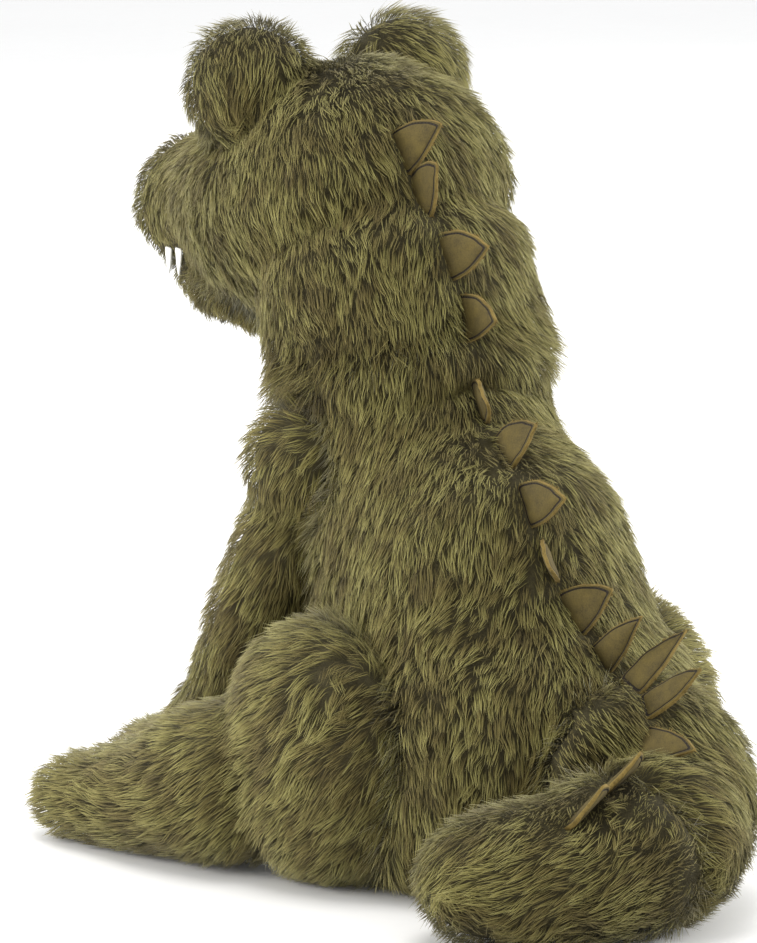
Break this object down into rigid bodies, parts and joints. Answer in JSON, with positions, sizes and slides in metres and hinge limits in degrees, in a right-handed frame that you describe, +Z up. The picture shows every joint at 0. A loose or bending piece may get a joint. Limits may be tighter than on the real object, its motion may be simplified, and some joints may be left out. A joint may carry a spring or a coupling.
{
  "type": "stuffed dinosaur",
  "caption": "Seated plush dinosaur in long-pile fur fabric with stuffed head, arms, legs and curling tail, suede spikes down the back seam, felt teeth and safety eyes.",
  "frame": {"origin": "middle of the flat seat under the torso, on the floor", "axes": "+Z up; the toy faces -Y, its left side is +X, and its tail lies toward +Y"},
  "size_m": [0.3078, 0.4822, 0.388],
  "materials": {
    "fur_fabric": "long soft olive pile",
    "wool_stuffing": "matte fibre",
    "bean_bag_cloth": "matte",
    "suede": "brushed suede",
    "felt": "matte felt",
    "eye_plastic": "glossy",
    "washer_plastic": "matte"
  },
  "bodies": {
    "torso": {"torso_skin": "fur_fabric", "torso_stuffing": "wool_stuffing", "bean_bag": "bean_bag_cloth", "back_spike_05": "suede", "back_spike_06": "suede", "back_spike_07": "suede", "back_spike_08": "suede", "back_spike_09": "suede", "back_spike_10": "suede"},
    "neck": {"neck_wad": "wool_stuffing"},
    "head": {"head_skin": "fur_fabric", "head_stuffing": "wool_stuffing", "jaw_skin": "fur_fabric", "jaw_stuffing": "wool_stuffing", "eye_washer_left": "washer_plastic", "eye_washer_right": "washer_plastic", "felt_tooth_front_left": "felt", "felt_tooth_front_right": "felt", "felt_tooth_middle_left": "felt", "felt_tooth_middle_right": "felt", "felt_tooth_rear_left": "felt", "felt_tooth_rear_right": "felt", "safety_eye_left": "eye_plastic", "safety_eye_right": "eye_plastic", "back_spike_01": "suede", "back_spike_02": "suede", "back_spike_03": "suede", "back_spike_04": "suede"},
    "arm_left": {"arm_left_skin": "fur_fabric", "arm_left_stuffing": "wool_stuffing"},
    "arm_right": {"arm_right_skin": "fur_fabric", "arm_right_stuffing": "wool_stuffing"},
    "leg_left": {"leg_left_skin": "fur_fabric", "leg_left_stuffing": "wool_stuffing"},
    "leg_right": {"leg_right_skin": "fur_fabric", "leg_right_stuffing": "wool_stuffing"},
    "tail_base": {"tail_base_skin": "fur_fabric", "tail_base_stuffing": "wool_stuffing", "back_spike_11": "suede", "back_spike_12": "suede", "back_spike_13": "suede"},
    "tail_tip": {"tail_tip_skin": "fur_fabric", "tail_tip_stuffing": "wool_stuffing", "back_spike_14": "suede", "back_spike_15": "suede"}
  },
  "joints": [
    {"name": "head_turn", "type": "hinge", "parent": "torso", "child": "neck", "pos_m": [0, -0.068, 0.226], "axis": [0, -0.2924, 0.9563], "range_deg": [-30, 30], "stiffness_Nm_per_rad": 1.2},
    {"name": "head_nod", "type": "hinge", "parent": "neck", "child": "head", "pos_m": [0, -0.068, 0.226], "axis": [1, 0, 0], "range_deg": [-12, 12], "stiffness_Nm_per_rad": 2.4},
    {"name": "arm_left_swing", "type": "hinge", "parent": "torso", "child": "arm_left", "pos_m": [0.051, -0.074, 0.188], "axis": [-1, 0, 0], "range_deg": [0, 40]},
    {"name": "arm_right_swing", "type": "hinge", "parent": "torso", "child": "arm_right", "pos_m": [-0.051, -0.074, 0.188], "axis": [-1, 0, 0], "range_deg": [0, 40]},
    {"name": "leg_left_lift", "type": "hinge", "parent": "torso", "child": "leg_left", "pos_m": [0.082, -0.014, 0.061], "axis": [-1, 0, 0], "range_deg": [0, 25]},
    {"name": "leg_right_lift", "type": "hinge", "parent": "torso", "child": "leg_right", "pos_m": [-0.082, -0.014, 0.061], "axis": [-1, 0, 0], "range_deg": [0, 25]},
    {"name": "tail_swing", "type": "hinge", "parent": "torso", "child": "tail_base", "pos_m": [0, 0.028, 0.055], "axis": [0, 0, 1], "range_deg": [-8, 16], "stiffness_Nm_per_rad": 0.5},
    {"name": "tail_curl", "type": "hinge", "parent": "tail_base", "child": "tail_tip", "pos_m": [0.002, 0.146, 0.042], "axis": [0, 0, 1], "range_deg": [-5, 20], "stiffness_Nm_per_rad": 0.2}
  ]
}
